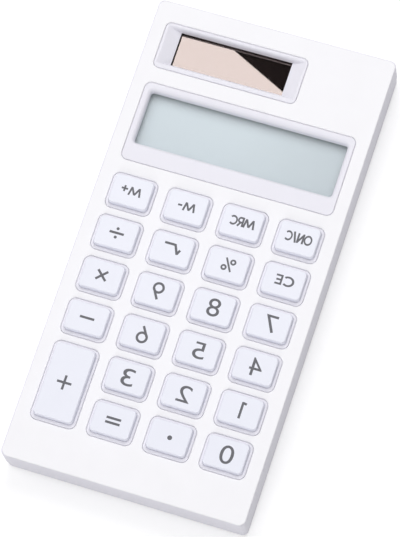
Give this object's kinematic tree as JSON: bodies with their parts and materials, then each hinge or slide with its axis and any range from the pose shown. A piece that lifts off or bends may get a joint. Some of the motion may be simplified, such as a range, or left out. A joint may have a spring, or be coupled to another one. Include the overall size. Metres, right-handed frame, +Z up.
{
  "type": "desktop calculator",
  "caption": "Slim white solar calculator with raised keys that press and spring back, a recessed grey display and a dark light cell above it, on rubber feet.",
  "frame": {"origin": "middle of the footprint, on the desk under the feet", "axes": "+X across the keypad to the picture's right, +Y from the keys to the display, +Z up"},
  "size_m": [0.0604, 0.12, 0.0126],
  "materials": {
    "panel_paint": "sheet, painted satin white",
    "case_plastic": "moulded, fine satin, cool white",
    "key_plastic": "moulded, satin, cool white, dark printed legends",
    "foot_rubber": "moulded rubber",
    "membrane_rubber": "silicone rubber",
    "board_laminate": "green lacquered laminate",
    "carbon_ink": "printed carbon",
    "black_resin": "cast resin",
    "ceramic": "fired ceramic with tinned ends",
    "display_glass": "thin display glass",
    "display_film": "polarising film, faintly blue-grey",
    "reflector_film": "silvered film",
    "connector_rubber": "striped conductive rubber",
    "foam": "closed-cell foam",
    "light_cell_glass": "glass with a dark brown semiconductor film",
    "tinned_wire": "tinned wire",
    "plated_steel": "plated"
  },
  "bodies": {
    "case": {"front_panel": "panel_paint", "front_case": "case_plastic", "rear_cover": "case_plastic", "battery_cover": "case_plastic", "rubber_feet": "foot_rubber", "keypad_membrane": "membrane_rubber", "circuit_board": "board_laminate", "key_contacts": "carbon_ink", "controller_blob": "black_resin", "capacitors": "ceramic", "resistors": "black_resin", "diode": "black_resin", "display_front_glass": "display_glass", "display_rear_glass": "display_glass", "display_front_film": "display_film", "display_rear_film": "reflector_film", "display_connector": "connector_rubber", "display_pad": "foam", "light_cell": "light_cell_glass", "light_cell_pad": "foam", "light_cell_leads": "tinned_wire", "button_cell": "plated_steel", "battery_contact_plus": "plated_steel", "battery_contact_minus": "plated_steel", "case_screws": "plated_steel", "board_screws": "plated_steel", "battery_cover_screw": "plated_steel"},
    "key_memory_add": {"key_memory_add": "key_plastic"},
    "key_memory_subtract": {"key_memory_subtract": "key_plastic"},
    "key_memory_recall": {"key_memory_recall": "key_plastic"},
    "key_on_clear": {"key_on_clear": "key_plastic"},
    "key_divide": {"key_divide": "key_plastic"},
    "key_root": {"key_root": "key_plastic"},
    "key_percent": {"key_percent": "key_plastic"},
    "key_clear_entry": {"key_clear_entry": "key_plastic"},
    "key_multiply": {"key_multiply": "key_plastic"},
    "key_9": {"key_9": "key_plastic"},
    "key_8": {"key_8": "key_plastic"},
    "key_7": {"key_7": "key_plastic"},
    "key_subtract": {"key_subtract": "key_plastic"},
    "key_6": {"key_6": "key_plastic"},
    "key_5": {"key_5": "key_plastic"},
    "key_4": {"key_4": "key_plastic"},
    "key_add": {"key_add": "key_plastic"},
    "key_3": {"key_3": "key_plastic"},
    "key_2": {"key_2": "key_plastic"},
    "key_1": {"key_1": "key_plastic"},
    "key_equals": {"key_equals": "key_plastic"},
    "key_point": {"key_point": "key_plastic"},
    "key_0": {"key_0": "key_plastic"}
  },
  "joints": [
    {"name": "press_memory_add", "type": "slide", "parent": "case", "child": "key_memory_add", "axis": [0, 0, -1], "range_m": [0, 0.0009], "stiffness_N_per_m": 700, "deforming": ["keypad_membrane"]},
    {"name": "press_memory_subtract", "type": "slide", "parent": "case", "child": "key_memory_subtract", "axis": [0, 0, -1], "range_m": [0, 0.0009], "stiffness_N_per_m": 700, "deforming": ["keypad_membrane"]},
    {"name": "press_memory_recall", "type": "slide", "parent": "case", "child": "key_memory_recall", "axis": [0, 0, -1], "range_m": [0, 0.0009], "stiffness_N_per_m": 700, "deforming": ["keypad_membrane"]},
    {"name": "press_on_clear", "type": "slide", "parent": "case", "child": "key_on_clear", "axis": [0, 0, -1], "range_m": [0, 0.0009], "stiffness_N_per_m": 700, "deforming": ["keypad_membrane"]},
    {"name": "press_divide", "type": "slide", "parent": "case", "child": "key_divide", "axis": [0, 0, -1], "range_m": [0, 0.0009], "stiffness_N_per_m": 700, "deforming": ["keypad_membrane"]},
    {"name": "press_root", "type": "slide", "parent": "case", "child": "key_root", "axis": [0, 0, -1], "range_m": [0, 0.0009], "stiffness_N_per_m": 700, "deforming": ["keypad_membrane"]},
    {"name": "press_percent", "type": "slide", "parent": "case", "child": "key_percent", "axis": [0, 0, -1], "range_m": [0, 0.0009], "stiffness_N_per_m": 700, "deforming": ["keypad_membrane"]},
    {"name": "press_clear_entry", "type": "slide", "parent": "case", "child": "key_clear_entry", "axis": [0, 0, -1], "range_m": [0, 0.0009], "stiffness_N_per_m": 700, "deforming": ["keypad_membrane"]},
    {"name": "press_multiply", "type": "slide", "parent": "case", "child": "key_multiply", "axis": [0, 0, -1], "range_m": [0, 0.0009], "stiffness_N_per_m": 700, "deforming": ["keypad_membrane"]},
    {"name": "press_9", "type": "slide", "parent": "case", "child": "key_9", "axis": [0, 0, -1], "range_m": [0, 0.0009], "stiffness_N_per_m": 700, "deforming": ["keypad_membrane"]},
    {"name": "press_8", "type": "slide", "parent": "case", "child": "key_8", "axis": [0, 0, -1], "range_m": [0, 0.0009], "stiffness_N_per_m": 700, "deforming": ["keypad_membrane"]},
    {"name": "press_7", "type": "slide", "parent": "case", "child": "key_7", "axis": [0, 0, -1], "range_m": [0, 0.0009], "stiffness_N_per_m": 700, "deforming": ["keypad_membrane"]},
    {"name": "press_subtract", "type": "slide", "parent": "case", "child": "key_subtract", "axis": [0, 0, -1], "range_m": [0, 0.0009], "stiffness_N_per_m": 700, "deforming": ["keypad_membrane"]},
    {"name": "press_6", "type": "slide", "parent": "case", "child": "key_6", "axis": [0, 0, -1], "range_m": [0, 0.0009], "stiffness_N_per_m": 700, "deforming": ["keypad_membrane"]},
    {"name": "press_5", "type": "slide", "parent": "case", "child": "key_5", "axis": [0, 0, -1], "range_m": [0, 0.0009], "stiffness_N_per_m": 700, "deforming": ["keypad_membrane"]},
    {"name": "press_4", "type": "slide", "parent": "case", "child": "key_4", "axis": [0, 0, -1], "range_m": [0, 0.0009], "stiffness_N_per_m": 700, "deforming": ["keypad_membrane"]},
    {"name": "press_add", "type": "slide", "parent": "case", "child": "key_add", "axis": [0, 0, -1], "range_m": [0, 0.0009], "stiffness_N_per_m": 700, "deforming": ["keypad_membrane"]},
    {"name": "press_3", "type": "slide", "parent": "case", "child": "key_3", "axis": [0, 0, -1], "range_m": [0, 0.0009], "stiffness_N_per_m": 700, "deforming": ["keypad_membrane"]},
    {"name": "press_2", "type": "slide", "parent": "case", "child": "key_2", "axis": [0, 0, -1], "range_m": [0, 0.0009], "stiffness_N_per_m": 700, "deforming": ["keypad_membrane"]},
    {"name": "press_1", "type": "slide", "parent": "case", "child": "key_1", "axis": [0, 0, -1], "range_m": [0, 0.0009], "stiffness_N_per_m": 700, "deforming": ["keypad_membrane"]},
    {"name": "press_equals", "type": "slide", "parent": "case", "child": "key_equals", "axis": [0, 0, -1], "range_m": [0, 0.0009], "stiffness_N_per_m": 700, "deforming": ["keypad_membrane"]},
    {"name": "press_point", "type": "slide", "parent": "case", "child": "key_point", "axis": [0, 0, -1], "range_m": [0, 0.0009], "stiffness_N_per_m": 700, "deforming": ["keypad_membrane"]},
    {"name": "press_0", "type": "slide", "parent": "case", "child": "key_0", "axis": [0, 0, -1], "range_m": [0, 0.0009], "stiffness_N_per_m": 700, "deforming": ["keypad_membrane"]}
  ]
}
